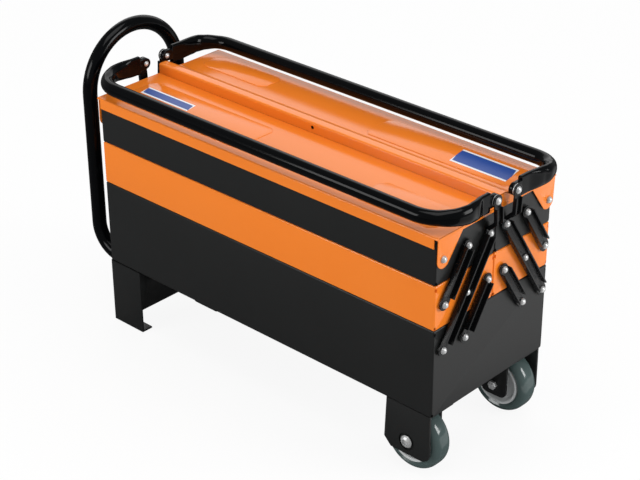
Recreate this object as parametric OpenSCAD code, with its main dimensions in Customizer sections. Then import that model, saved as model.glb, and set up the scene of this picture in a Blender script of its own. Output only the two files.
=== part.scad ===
// Cantilever tool box: a bottom box, four trays that swing out on link arms, two hinged lids,
// two bail handles, a push handle, a foot bracket at the left end and two wheels at the right.
// Millimetres. +X points to the wheel end, -Y is the front, Z = 0 is the floor. The origin is
// under the middle of the whole outline. Pieces are drawn for the rear side of the right end,
// in a frame whose X = 0 is the outer face of the end wall, whose Y is the distance from the
// centre plane and whose Z = 0 is the underside of the bottom box, and are then mirrored.

/* [Box and trays] */
// Length of the bottom box and of the trays
body_l = 500; // [420:1:600]
// Depth of the bottom box, front to rear
body_d = 189; // [186:1:230]
// Height of the bottom box
box_h = 104.7; // [98:0.1:150]
// Height of a middle tray
tray_h = 51.7; // [50:0.1:56]
// Height of a top tray
top_tray_h = 54.2; // [50:0.1:60]
// Sheet thickness of box, trays and lids
sheet_t = 1; // [0.8:0.1:1.5]
// Height of the folded hem along a rim
hem_h = 8; // [5:0.5:14]
// Gap between a tray and the rim that it rests on
stack_gap = 0.3; // [0.2:0.1:0.5]
// Gap between each front or rear piece and the centre plane
centre_gap = 0.3; // [0.2:0.1:1]

/* [Link arms] */
// Distance between neighbouring pivots along the trays
pivot_pitch = 35; // [34:0.5:36]
// Height that one link arm spans, pivot to pivot, when closed
pivot_rise = 53.7; // [52:0.1:55]
// Distance of the innermost pivots from the centre plane
pivot_in = 13.5; // [12:0.5:16]
// Height of the lowest pivots above the underside of the box
pivot_z = 79.7; // [74:0.1:84]
// Width of a link arm
arm_w = 13.5; // [11:0.5:14]
// Sheet thickness of a link arm
arm_t = 1.5; // [1:0.1:2]
// Depth of a link arm with its edge flanges
arm_d = 6.5; // [5:0.5:7.5]
// Distance from an arm's lower pivot to where its flanges begin
flange_in = 8; // [6:0.5:12]
// Distance from where an arm's flanges end to its upper pivot
flange_top = 2; // [1:0.5:8]
// Width of a long arm's neck, between the top tray pivot and the handle pivot
neck_w = 10.5; // [9:0.5:12]
// Depth of the neck with its edge flanges
neck_d = 4.5; // [3:0.5:5]
// Gap between an end wall and a link arm
arm_gap = 2; // [1.8:0.1:2.5]
// How far the handle pivot lies outward of the top tray pivot
tip_out = 3; // [0:0.5:5]
// How far the handle pivot lies above the top tray pivot
tip_up = 40.9; // [40:0.1:44]
// How far the arm tips stand out from the rest of the arm
tip_step = 10.5; // [10:0.1:12]
// Where the step of the arm starts and ends, above the top tray pivot
step_from = 8; // [7:0.5:9]
// Length over which the arm steps outward
step_len = 10; // [8:0.5:12]

/* [Rivets] */
// Radius of the pivot rivets' shanks
pin_r = 2.5; // [2:0.1:3]
// Radius of the pivot rivets' heads
rivet_head_r = 4; // [3.4:0.1:4.5]
// Height of the pivot rivets' heads
rivet_head_h = 4; // [1.5:0.1:4.2]
// Radius of the handle rivets' heads
handle_head_r = 4.2; // [3.6:0.1:4.6]
// Height of the handle rivets' outer heads
handle_head_h = 3; // [2:0.1:3.5]
// Height of the handle rivets' inner heads
handle_set_h = 2; // [1:0.1:2.2]
// Thickness of the flat heads inside the trays
set_head_h = 1.2; // [0.8:0.1:2]
// Radial clearance of a moving piece on its pin
run_gap = 0.05; // [0.02:0.01:0.1]

/* [Lids] */
// How far the front lid reaches past the front of its tray
front_lid_over = 2; // [1.8:0.1:3]
// How far the rear lid reaches past the rear of its tray
rear_lid_over = 3.5; // [1.8:0.1:3.8]
// How far a lid reaches past the tray at the ends
lid_end_over = 2.5; // [2.2:0.1:2.7]
// Depth of the front and rear lid skirts, from the top of the lid
lid_skirt = 12.8; // [8:0.1:14]
// Depth of the lid skirts at the ends
lid_end_skirt = 4.5; // [3:0.1:6]
// Distance of the lid pivots from the front or rear face of the tray
lid_pivot_in = 7.8; // [7:0.1:9]
// Height of the lid pivots above the top tray pivots
lid_pivot_drop = -0.6; // [-2:0.1:2]
// Gap between a swinging lid and the rounded outer rim of its tray
swing_gap = 0.25; // [0.2:0.05:0.5]
// Radius of the rounded bottom of a lid ear
ear_r = 9.6; // [8:0.1:10]
// Width of a lid ear where it leaves the end skirt
ear_w = 40; // [30:1:46]
// Width of the slit between a lid ear and the long skirt
slit_w = 1.6; // [1:0.1:3]
// Height of the raised bead along the inner edge of the rear lid
bead_h = 12; // [8:0.5:12.5]
// Width of the raised bead
bead_w = 34; // [28:1:40]
// Size of the rounding along the upper edge of the bead's face
bead_round = 2.2; // [1:0.1:4]
// Radius of the round hole in the face of the bead
bead_hole_r = 2.2; // [1.5:0.1:3.5]
// Distance of that hole from the middle of the box, to the left
bead_hole_x = 5; // [0:0.5:100]
// Height of that hole above the rim of the tray
bead_hole_z = 7.2; // [5:0.1:8]

/* [Labels] */
// Thickness of the label plates
label_t = 0.3; // [0.2:0.1:0.5]
// Length of the rear label
rear_label_l = 80; // [60:1:100]
// Width of the rear label
rear_label_w = 31; // [20:1:40]
// Distance from the right end wall to the middle of the rear label
rear_label_x = 65; // [50:1:440]
// Distance from the centre plane to the middle of the rear label
rear_label_y = 62; // [58:1:70]
// Length of the front label
front_label_l = 80; // [60:1:100]
// Width of the front label
front_label_w = 17; // [12:1:25]
// Distance from the right end wall to the middle of the front label
front_label_x = 438; // [50:1:440]
// Distance from the centre plane to the middle of the front label
front_label_y = 46; // [30:1:70]

/* [Bail handles] */
// Radius of the bail's grip
bail_r = 8; // [7:0.1:8]
// Distance from the bail pivot to the middle of its long grip
bail_len = 78; // [76:0.5:82]
// Bend radius of the front bail, to the middle of the tube
front_bail_bend = 42; // [36:1:44]
// Bend radius of the rear bail, to the middle of the tube
rear_bail_bend = 32; // [28:1:36]
// Angle of the front bail above the horizontal when it lies down
front_bail_rest = 1; // [0:0.5:3]
// Angle of the rear bail above the horizontal when it lies down
rear_bail_rest = -1.5; // [-2:0.5:3]
// Gap between a lid's end and the bail tube
bail_gap = 1; // [0.8:0.1:1.5]
// Thickness of the pressed bail ends
bail_flat_t = 5.4; // [4:0.1:5.5]
// Half height of the tongue at the pivot
tongue_h = 6.7; // [6:0.1:7]
// Length of the tongue, from the pivot to its shoulder
tongue_l = 9; // [8:0.5:12]
// Half height of the pressed part behind the shoulder
press_h = 11; // [9:0.1:11.5]
// Distance from the pivot to where the pressed part begins to open into the tube
press_l = 20; // [16:0.5:22]
// Thickness of the washers between arm and bail
washer_t = 1; // [0.6:0.1:1.2]
// Radius of the washers between arm and bail
washer_r = 6.5; // [5:0.1:6.7]
// Radius of the handle rivets' shanks
handle_pin_r = 3; // [2.5:0.1:3.5]

/* [Push handle] */
// Radius of the push handle tube
push_r = 8.7; // [8:0.1:10]
// Wall thickness of the push handle tube
tube_wall = 1.5; // [1:0.1:2]
// Distance of the push handle from the left end wall, to the middle of the tube
push_out = 48.4; // [44:0.1:60]
// Distance of the push handle's legs from the centre plane
push_half = 69.5; // [66:0.5:71]
// Height at which the arch of the push handle starts, above the underside of the box
push_arch_z = 192; // [150:1:260]
// Radius of the bend below the box, to the middle of the tube
push_bend = 34; // [25:1:34]
// Length of the push handle that runs under the box
push_run = 168; // [150:1:200]
// Distance from the left end wall to the middle of the tube clamps
clamp_x = 144; // [125:1:145]
// Length of a tube clamp
clamp_l = 32; // [20:1:36]
// Sheet thickness of the tube clamps
clamp_t = 1.5; // [1:0.1:2]
// Width of each ear of a tube clamp
clamp_ear = 12; // [10:0.5:13]

/* [Foot bracket] */
// Height of the underside of the box above the floor
floor_gap = 82.5; // [80:0.5:100]
// Width of a leg
leg_w = 50; // [40:1:60]
// Sheet thickness of the foot bracket
leg_t = 2; // [1.5:0.1:3]
// Depth of the feet and of the top flanges
foot_d = 15; // [10:0.5:15]
// Depth of the cross plate between the legs, from the underside of the box
cross_h = 52; // [35:1:60]
// Gap between the cross plate and the push handle tubes
tube_slot_gap = 0.3; // [0.2:0.1:0.6]

/* [Wheels] */
// Radius of the wheels
wheel_r = 37.5; // [32:0.5:38]
// Width of the wheels
wheel_w = 27; // [22:0.5:30]
// Distance from the right end wall to the axles
axle_in = 33.7; // [31:0.1:40]
// Radius of the wheel hubs
hub_r = 27; // [20:0.5:28]
// Radius of the crown of the tyres' edges
tyre_edge = 7; // [4:0.5:9]
// Width of the centre boss of a hub
boss_w = 30; // [28:0.5:31]
// Radius of the centre boss of a hub
boss_r = 9; // [8:0.5:11]
// Radius of the axle bolts
axle_r = 3; // [2.5:0.1:4]
// Radius of the axle bolts' round heads
axle_head_r = 7.5; // [6:0.1:9]
// Height of the axle bolts' heads
axle_head_h = 4; // [3:0.1:6]
// Radius of the axle nuts, over their corners
axle_nut_r = 5.4; // [5:0.1:8]
// Height of the axle nuts
axle_nut_h = 4; // [3:0.1:6]
// Wall thickness of the wheel bushes
bush_t = 1.5; // [1:0.1:2]
// Gap between a fork's side plates
fork_gap = 33; // [32:0.5:38]
// Sheet thickness of the forks
fork_t = 2.5; // [2:0.1:3]
// Distance of a fork's outer plate from the front or rear face of the box
fork_set = 0.9; // [0:0.1:3]
// Distance of a fork's right edge from the right end wall
fork_edge = 2.5; // [0:0.5:5]
// Distance from the right end wall to the upper left corner of a fork's outer plate
fork_w = 62; // [56:0.5:66]
// How far the outer plate's left edge leans out towards its foot
fork_flare = 2.5; // [0:0.5:4]
// Size of the slanted lower left corner of the outer plate
fork_slant = 9.5; // [6:0.5:12]
// How far a fork's outer plate reaches below the box
fork_h = 60.5; // [58:0.5:64]
// Radius of the lower right corner of the outer plate
fork_corner = 12; // [5:0.5:14]
// Width of a fork's inner plate
fork_inner_w = 34; // [30:1:50]
// How far a fork's inner plate reaches below the box
fork_inner_h = 58.5; // [56:0.5:64]
// Radius of the lower corners of the inner plate
fork_inner_corner = 8; // [5:0.5:12]

/* [Bolts] */
// Radius of the bolts that hold bracket and forks
bolt_r = 2.5; // [2:0.1:3]
// Radius of the heads of those bolts
bolt_head_r = 4.5; // [4:0.1:5]
// Height of the bolt heads and nuts
bolt_head_h = 3; // [2:0.1:3.5]
// Radial clearance of a fixed bolt or rivet in its hole
bolt_gap = 0.1; // [0.05:0.05:0.3]

/* [Hidden] */
$fn = 64;
HULL_FN = 32;
FRONT = -1;
REAR = 1;
LEFT = -1;
RIGHT = 1;
CUT = 1;

half_l = body_l / 2;
half_d = body_d / 2;
tray_z = box_h + stack_gap;
top_z = tray_z + tray_h + stack_gap;
lid_under = top_z + top_tray_h + stack_gap;
lid_top = lid_under + sheet_t;

// pivots: distance from the centre plane and height above the underside of the box
pivot_mid = pivot_in + pivot_pitch;
pivot_out = pivot_mid + pivot_pitch;
z_low = pivot_z;
z_mid = pivot_z + pivot_rise;
z_top = pivot_z + 2 * pivot_rise;
arm_len = sqrt(pivot_pitch * pivot_pitch + pivot_rise * pivot_rise);
arm_lean = atan(pivot_pitch / pivot_rise);
tip_y = pivot_in + tip_out;
tip_z = z_top + tip_up;
tip_len = sqrt(tip_out * tip_out + tip_up * tip_up);
tip_lean = -atan(tip_out / tip_up);
web_face = arm_gap + arm_t;
tip_face = arm_gap + tip_step;
lid_pivot_y = half_d - lid_pivot_in;
lid_pivot_z = z_top + lid_pivot_drop;

// bail handle, measured from the outer face of an end wall
bail_x = lid_end_over + bail_gap + bail_r;
flat_face = tip_face - washer_t - 2 * run_gap;
flat_in = flat_face - bail_flat_t;

// overall reach to each end, which puts the origin under the middle
reach_left = half_l + push_out + push_r;
reach_right = half_l + bail_x + bail_r;
body_x = (reach_left - reach_right) / 2;

// wheels: middle of the wheel from the centre plane, and height of the axle above the floor
axle_z = wheel_r - floor_gap;
fork_out = half_d - fork_set;
wheel_y = fork_out - fork_t - fork_gap / 2;
fork_bolt_y = wheel_y;
fork_bolt_x = [-fork_w + 10, -fork_edge - 8];

BLACK = "#232527";
ORANGE = "#ee7c32";
ZINC = "#c9ccd0";
GREY = "#8d9298";
TYRE = "#4f5a5e";

// ---- frames -------------------------------------------------------------------------------

// Mirrors its children front to rear when the side is the front.
module on_side(side) {
    if (side == FRONT) mirror([0, 1, 0]) children();
    else children();
}

// Mirrors its children end to end when the end is the left one.
module on_end(end) {
    if (end == LEFT) mirror([1, 0, 0]) children();
    else children();
}

// Puts children drawn about the middle of the box's underside in place.
module on_box() {
    translate([body_x, 0, floor_gap]) children();
}

// Puts children drawn in the frame of the right end and the rear side in place.
module at_corner(side, end) {
    on_box() on_side(side) on_end(end) translate([half_l, 0, 0]) children();
}

// A cylinder along X that starts at x.
module rod_x(r, x, h) {
    translate([x, 0, 0]) rotate([0, 90, 0]) cylinder(r = r, h = h);
}

// A cylinder along Y that starts at y.
module rod_y(r, y, h) {
    translate([0, y, 0]) rotate([-90, 0, 0]) cylinder(r = r, h = h);
}

// A domed head that stands on the plane x and points to +X.
module dome_x(r, h, x) {
    big = (r * r + h * h) / (2 * h);
    translate([x, 0, 0]) rotate([0, 90, 0]) rotate_extrude()
        intersection() {
            translate([0, h - big]) circle(r = big, $fn = 96);
            square([r, h]);
        }
}

// The outline of a strip of even thickness along a line of points, which lie on its inner face.
function unit(v) = v / norm(v);
function left_of(v) = [-v[1], v[0]];
function corner_shift(a, b) = (unit(a) + unit(b)) / (1 + unit(a) * unit(b));
function strip(p, t) = let (
        n = len(p),
        dirs = [for (i = [0 : n - 2]) left_of(unit(p[i + 1] - p[i]))],
        shift = [for (i = [0 : n - 1]) i == 0 ? dirs[0]
            : i == n - 1 ? dirs[n - 2] : corner_shift(dirs[i - 1], dirs[i])]
    ) concat(p, [for (i = [n - 1 : -1 : 0]) p[i] + t * shift[i]]);

// ---- link arms ----------------------------------------------------------------------------

// A pressed channel between two pivots, drawn up from the lower one, with flanges outward.
module link_body(length) {
    for (z = [0, length]) translate([0, 0, z]) rod_x(arm_w / 2, arm_gap, arm_t);
    translate([arm_gap, -arm_w / 2, 0]) cube([arm_t, arm_w, length]);
    for (y = [-arm_w / 2, arm_w / 2 - arm_t])
        translate([arm_gap, y, flange_in])
            cube([arm_d, arm_t, length - flange_in - flange_top]);
}

module pivot_holes(r, heights) {
    for (z = heights) translate([0, 0, z]) rod_x(r, arm_gap - CUT, arm_t + 2 * CUT);
}

// A short link whose lower pivot lies at (y, z).
module short_link(y, z) {
    color(BLACK) translate([0, y, z]) rotate([arm_lean, 0, 0]) difference() {
        link_body(arm_len);
        pivot_holes(pin_r + run_gap, [0, arm_len]);
    }
}

// A strip across a long arm's neck, seen from its side, between two heights.
module neck_strip(from, to, across, width, t) {
    line = [[from, arm_gap], [step_from, arm_gap], [step_from + step_len, tip_face],
        [to, tip_face]];
    rotate([90, 0, 0]) rotate([0, 0, 90]) translate([0, 0, -across - width])
        mirror([0, 1, 0]) linear_extrude(width) polygon(strip(line, t));
}

// The upper end of a long arm, from the top tray pivot to the handle pivot.
module arm_tip() {
    rotate([tip_lean, 0, 0]) {
        neck_strip(0, tip_len, -neck_w / 2, neck_w, arm_t);
        translate([0, 0, tip_len]) rod_x(arm_w / 2, tip_face, arm_t);
        for (y = [-neck_w / 2, neck_w / 2 - arm_t])
            neck_strip(step_from - 1, tip_len - flange_in, y, arm_t, neck_d);
    }
}

module long_arm() {
    color(BLACK) difference() {
        union() {
            translate([0, pivot_out, z_low]) rotate([arm_lean, 0, 0]) link_body(2 * arm_len);
            translate([0, pivot_in, z_top]) arm_tip();
        }
        translate([0, pivot_out, z_low]) rotate([arm_lean, 0, 0])
            pivot_holes(pin_r + run_gap, [0, arm_len, 2 * arm_len]);
        translate([0, tip_y, tip_z]) rod_x(handle_pin_r + run_gap, tip_face - CUT, arm_t + 2 * CUT);
    }
}

// ---- rivets -------------------------------------------------------------------------------

// A shouldered rivet through an end wall that carries a moving sheet between two faces.
module pivot_rivet(sheet_in, sheet_out) {
    rod_x(pin_r, -sheet_t - set_head_h, sheet_out + run_gap + sheet_t + set_head_h);
    rod_x(rivet_head_r, -sheet_t - set_head_h, set_head_h);
    rod_x(rivet_head_r, 0, sheet_in - run_gap);
    dome_x(rivet_head_r, rivet_head_h, sheet_out + run_gap);
}

module arm_rivets(side, spots) {
    color(ZINC) for (end = [LEFT, RIGHT], s = spots)
        at_corner(side, end) translate([0, s[0], s[1]]) pivot_rivet(arm_gap, web_face);
}

// Holes in an end wall for the rivets at the given spots.
module wall_holes(spots) {
    for (s = spots)
        translate([0, s[0], s[1]]) rod_x(pin_r + bolt_gap, -3 * sheet_t, 4 * sheet_t);
}

box_spots = [[pivot_out, z_low], [pivot_mid, z_low]];
middle_spots = [[pivot_out, z_mid], [pivot_mid, z_mid], [pivot_in, z_mid]];
top_spots = [[pivot_mid, z_top], [pivot_in, z_top]];
lid_spot = [lid_pivot_y, lid_pivot_z];

module box_rivets() {
    arm_rivets(FRONT, box_spots);
    arm_rivets(REAR, box_spots);
}

module top_rivets(side) {
    arm_rivets(side, top_spots);
    color(ZINC) for (end = [LEFT, RIGHT])
        at_corner(side, end) translate([0, lid_spot[0], lid_spot[1]])
            pivot_rivet(lid_end_over - sheet_t, lid_end_over);
}

// The rivet on which a bail turns, with a head on each side.
module handle_rivet() {
    outer = tip_face + arm_t + run_gap;
    inner = flat_in - run_gap;
    rod_x(handle_pin_r, inner, outer - inner);
    dome_x(handle_head_r, handle_head_h, outer);
    translate([inner, 0, 0]) mirror([1, 0, 0]) dome_x(handle_head_r, handle_set_h, 0);
}

module handle_rivets(side) {
    color(ZINC) for (end = [LEFT, RIGHT])
        at_corner(side, end) translate([0, tip_y, tip_z]) handle_rivet();
}

module handle_washers(side) {
    color(ZINC) for (end = [LEFT, RIGHT])
        at_corner(side, end) translate([0, tip_y, tip_z]) difference() {
            rod_x(washer_r, tip_face - run_gap - washer_t, washer_t);
            rod_x(handle_pin_r + run_gap, tip_face - 4 * washer_t, 5 * washer_t);
        }
}

// ---- box and trays ------------------------------------------------------------------------

// An open sheet tray with a hem along its rim, from one corner.
module tray_shell(size) {
    difference() {
        cube(size);
        translate([sheet_t, sheet_t, sheet_t])
            cube([size[0] - 2 * sheet_t, size[1] - 2 * sheet_t, size[2] - sheet_t - hem_h]);
        translate([2 * sheet_t, 2 * sheet_t, sheet_t])
            cube([size[0] - 4 * sheet_t, size[1] - 4 * sheet_t, size[2]]);
    }
}

module half_tray(side, z, h, spots) {
    difference() {
        on_box() on_side(side) translate([-half_l, centre_gap, z])
            tray_shell([body_l, half_d - centre_gap, h]);
        for (end = [LEFT, RIGHT]) at_corner(side, end) wall_holes(spots);
    }
}

module middle_tray(side) {
    color(ORANGE) half_tray(side, tray_z, tray_h, middle_spots);
}

// The room beyond the arc on which a swinging lid passes over its tray's outer rim.
module lid_sweep() {
    r = lid_under - lid_pivot_z - swing_gap;
    difference() {
        translate([-half_l - CUT, lid_pivot_y, lid_pivot_z + r / 2])
            cube([body_l + 2 * CUT, lid_pivot_in + CUT, r]);
        translate([0, lid_pivot_y, lid_pivot_z])
            rod_x(r, -half_l - 2 * CUT, body_l + 4 * CUT);
    }
}

module top_tray(side) {
    color(BLACK) difference() {
        half_tray(side, top_z, top_tray_h, concat(top_spots, [lid_spot]));
        on_box() on_side(side) lid_sweep();
    }
}

leg_bolt_x = -half_l + leg_w / 2;
leg_bolt_y = half_d - foot_d / 2;
clamp_bolt_y = [push_half - push_r - clamp_t - clamp_ear / 2,
    push_half + push_r + clamp_t + clamp_ear / 2];

module floor_hole(x, y, r) {
    translate([x, y, -CUT]) cylinder(r = r + bolt_gap, h = sheet_t + 2 * CUT);
}

module bottom_box() {
    color(BLACK) difference() {
        on_box() translate([-half_l, -half_d, 0]) tray_shell([body_l, body_d, box_h]);
        for (end = [LEFT, RIGHT], side = [FRONT, REAR]) at_corner(side, end) wall_holes(box_spots);
        for (side = [FRONT, REAR]) on_box() on_side(side) {
            floor_hole(leg_bolt_x, leg_bolt_y, bolt_r);
            for (x = fork_bolt_x) floor_hole(half_l + x, fork_bolt_y, bolt_r);
            for (y = clamp_bolt_y) floor_hole(-half_l + clamp_x, y, bolt_r);
        }
    }
}

// ---- lids ---------------------------------------------------------------------------------

front_lid_y = half_d + front_lid_over;
rear_lid_y = half_d + rear_lid_over;
lid_end_z = lid_top - lid_end_skirt;
bead_face = centre_gap;
bead_top = lid_under + bead_h;

// The skirt and ear that fold down at one end of a lid, as an outline of Y and Z.
module end_skirt_outline(lid_y, bead) {
    ear_top_y = half_d + front_lid_over - ear_w;
    if (len(bead) > 0) polygon(bead);
    translate([centre_gap + sheet_t, lid_end_z])
        square([lid_y - slit_w - centre_gap - sheet_t, lid_end_skirt - sheet_t]);
    hull() {
        translate([lid_pivot_y - 1, lid_pivot_z - 1]) circle(r = ear_r, $fn = HULL_FN);
        translate([ear_top_y, lid_end_z]) square([lid_y - slit_w - ear_top_y, 1]);
    }
}

module lid_end(side, end, lid_y, bead) {
    at_corner(side, end) translate([lid_end_over - sheet_t, 0, 0])
        rotate([90, 0, 90]) linear_extrude(sheet_t) end_skirt_outline(lid_y, bead);
}

module lid_pin_holes(side) {
    for (end = [LEFT, RIGHT]) at_corner(side, end)
        translate([0, lid_spot[0], lid_spot[1]]) rod_x(pin_r + run_gap, 0, 2 * lid_end_over);
}

// Sheet profile of a lid's skirt and outer part, in Y and Z, along its underside.
function skirt_profile(lid_y) = [[lid_y - sheet_t, lid_top - lid_skirt],
    [lid_y - sheet_t, lid_under]];
flat_profile = concat(skirt_profile(front_lid_y), [[centre_gap, lid_under]]);
bead_section = [[bead_face + bead_w, lid_under],
    [bead_face + bead_w * 0.65, lid_under + bead_h * 0.62],
    [bead_face + bead_w * 0.27, bead_top],
    [bead_face + sheet_t + bead_round, bead_top],
    [bead_face + sheet_t + bead_round * 0.3, bead_top - bead_round * 0.3],
    [bead_face + sheet_t, bead_top - bead_round],
    [bead_face + sheet_t, lid_under]];

module lid(side, lid_y, profile, bead) {
    color(ORANGE) difference() {
        union() {
            on_box() on_side(side) translate([-half_l - lid_end_over, 0, 0])
                rotate([90, 0, 90]) intersection() {
                    linear_extrude(body_l + 2 * lid_end_over)
                        polygon(strip(profile, -sheet_t));
                    lid_cut(lid_y);
                }
            for (end = [LEFT, RIGHT]) lid_end(side, end, lid_y, bead);
        }
        lid_pin_holes(side);
    }
}

// Everything a lid may fill: the long skirt stops short of the folded ends.
module lid_cut(lid_y) {
    length = body_l + 2 * lid_end_over;
    translate([0, lid_under, 0]) cube([lid_y, bead_h + 2 * sheet_t, length]);
    translate([0, 0, lid_end_over + sheet_t])
        cube([lid_y, lid_under + CUT, length - 2 * lid_end_over - 2 * sheet_t]);
}

module front_lid() {
    lid(FRONT, front_lid_y, flat_profile, []);
}

module rear_lid() {
    difference() {
        lid(REAR, rear_lid_y, concat(skirt_profile(rear_lid_y), bead_section), bead_section);
        color(ORANGE) on_box() translate([-bead_hole_x, 0, lid_under + bead_hole_z])
            rod_y(bead_hole_r, bead_face - CUT, sheet_t + 2 * CUT);
    }
}

// ---- labels -------------------------------------------------------------------------------

// A label plate whose middle lies at (x, y) from the right end wall and the centre plane.
module label(side, length, width, x, y) {
    color("white") at_corner(side, RIGHT)
        translate([-x - length / 2, y - width / 2, lid_top]) cube([length, width, label_t]);
}

module front_label() {
    label(FRONT, front_label_l, front_label_w, front_label_x, front_label_y);
}

module rear_label() {
    label(REAR, rear_label_l, rear_label_w, rear_label_x, rear_label_y);
}

// ---- bail handles -------------------------------------------------------------------------

// Each bail end is drawn from the pivot at the origin, with +Y along the leg, at X of the end
// wall. Behind the pressed part its section opens into the round tube of the grip.
RING = 24;
RINGS = 20;
press_mid = flat_in + bail_flat_t / 2;

// Values at distances along the middle line of a bail whose bend begins at b: half thickness,
// half height, X of the middle of the section, and squareness of its corners (1 is round).
function half_thick(b, bend) = [[press_l, bail_flat_t / 2], [b - 3, bail_r * 0.64],
    [b + 0.22 * bend, bail_r * 0.82], [b + 0.6 * bend, bail_r * 0.93], [b + bend, bail_r]];
function half_high(b, bend) = [[press_l, press_h], [b - 3, press_h * 0.97],
    [b + 0.22 * bend, press_h * 0.91], [b + 0.6 * bend, bail_r * 1.12], [b + bend, bail_r]];
function middle_x(b) = [[press_l, press_mid], [b - 3, bail_x - 1], [b, bail_x]];
function squareness(b) = [[press_l, 0.25], [b - 3, 0.8], [b, 1]];
function square_pow(v, k) = sign(v) * pow(abs(v), k);

// One ring of points round a bail's section, at the distance s along its middle line.
function bail_ring(s, bend, grow) = let (
        b = bail_len - bend,
        turn = s < b ? 0 : (s - b) / bend * 180 / PI,
        mid = s < b ? [lookup(s, middle_x(b)), s]
            : [bail_x - bend + bend * cos(turn), b + bend * sin(turn)],
        a = lookup(s, half_thick(b, bend)) * grow,
        h = lookup(s, half_high(b, bend)) * grow,
        k = lookup(s, squareness(b))
    ) [for (i = [0 : RING - 1]) let (
            t = (i + 0.5) * 360 / RING,
            u = a * square_pow(cos(t), k)
        ) [mid[0] + u * cos(turn), mid[1] + u * sin(turn), h * square_pow(sin(t), k)]];

// The part of a bail between its pressed end and its grip.
module bail_corner(bend) {
    first = press_l - 0.5;
    last = bail_len - bend + bend * PI / 2;
    points = concat([for (n = [0 : RINGS], p = bail_ring(first + n * (last - first) / RINGS,
            bend, 0.985)) p], [for (p = bail_ring(last, bend, 0.985)) p - [1, 0, 0]]);
    rows = RINGS + 1;
    faces = concat([[for (i = [RING - 1 : -1 : 0]) i]],
        [for (n = [0 : rows - 1], i = [0 : RING - 1])
            [n * RING + i, n * RING + (i + 1) % RING, (n + 1) * RING + i]],
        [for (n = [0 : rows - 1], i = [0 : RING - 1]) [n * RING + (i + 1) % RING,
            (n + 1) * RING + (i + 1) % RING, (n + 1) * RING + i]],
        [[for (i = [0 : RING - 1]) rows * RING + i]]);
    polyhedron(points, faces);
}

module bail_half(bend) {
    rod_x(tongue_h, flat_in, bail_flat_t);
    translate([flat_in, 0, -tongue_h]) cube([bail_flat_t, tongue_l + 1, 2 * tongue_h]);
    translate([flat_in, tongue_l, -press_h])
        cube([bail_flat_t, press_l - tongue_l, 2 * press_h]);
    bail_corner(bend);
}

module bail(side, bend, rest) {
    half_grip = half_l + bail_x - bend;
    color(BLACK) difference() {
        union() {
            for (end = [LEFT, RIGHT])
                at_corner(side, end) translate([0, tip_y, tip_z]) rotate([rest, 0, 0])
                    bail_half(bend);
            at_corner(side, RIGHT) translate([-half_l, tip_y, tip_z]) rotate([rest, 0, 0])
                translate([0, bail_len, 0]) rod_x(bail_r, -half_grip, 2 * half_grip);
        }
        for (end = [LEFT, RIGHT])
            at_corner(side, end) translate([0, tip_y, tip_z])
                rod_x(handle_pin_r + run_gap, flat_in - CUT, bail_flat_t + 2 * CUT);
    }
}

// ---- push handle --------------------------------------------------------------------------

push_z = -push_r;
push_end = -half_l + push_run;

module push_path(r) {
    translate([-half_l - push_out, 0, push_arch_z]) rotate([90, 0, 90])
        rotate_extrude(angle = 180) translate([push_half, 0]) circle(r = r);
    for (side = [FRONT, REAR]) on_side(side) translate([-half_l - push_out, push_half, 0]) {
        translate([0, 0, push_z + push_bend])
            cylinder(r = r, h = push_arch_z - push_z - push_bend);
        translate([push_bend, 0, push_z + push_bend]) rotate([90, 0, 0])
            rotate([0, 0, 180]) rotate_extrude(angle = 90) translate([push_bend, 0]) circle(r = r);
        translate([0, 0, push_z]) rod_x(r, push_bend, push_out + push_run - push_bend);
    }
}

module push_handle() {
    color(BLACK) on_box() difference() {
        push_path(push_r);
        push_path(push_r - tube_wall);
    }
}

// A saddle clamp that holds one leg of the push handle to the underside of the box.
module clamp_outline() {
    outer = push_r + clamp_t;
    difference() {
        union() {
            translate([0, push_z]) circle(r = outer);
            translate([-outer, push_z]) square([2 * outer, -push_z]);
            translate([-outer - clamp_ear, -clamp_t])
                square([2 * (outer + clamp_ear), clamp_t]);
        }
        translate([0, push_z]) circle(r = push_r);
        translate([-push_r, push_z]) square([2 * push_r, -push_z + CUT]);
        translate([-outer, 0]) square([2 * outer, outer]);
    }
}

module tube_clamps() {
    color(BLACK) for (side = [FRONT, REAR]) on_box() on_side(side) difference() {
        translate([-half_l + clamp_x - clamp_l / 2, push_half, 0])
            rotate([90, 0, 90]) linear_extrude(clamp_l) clamp_outline();
        for (y = clamp_bolt_y)
            translate([-half_l + clamp_x, y, -clamp_t - CUT])
                cylinder(r = bolt_r + bolt_gap, h = clamp_t + 2 * CUT);
    }
}

module clamp_rivets() {
    color(ZINC) for (side = [FRONT, REAR], y = clamp_bolt_y) on_box() on_side(side)
        translate([-half_l + clamp_x, y, 0]) {
            translate([0, 0, -clamp_t]) cylinder(r = bolt_r, h = clamp_t + sheet_t);
            translate([0, 0, -clamp_t]) mirror([0, 0, 1]) rotate([0, -90, 0])
                dome_x(bolt_head_r, set_head_h, 0);
            translate([0, 0, sheet_t]) cylinder(r = bolt_head_r, h = set_head_h);
        }
}

// ---- foot bracket -------------------------------------------------------------------------

module leg() {
    translate([-half_l, half_d - leg_t, -floor_gap]) cube([leg_w, leg_t, floor_gap]);
    for (z = [-floor_gap, -leg_t])
        translate([-half_l, half_d - foot_d, z]) cube([leg_w, foot_d, leg_t]);
}

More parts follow.
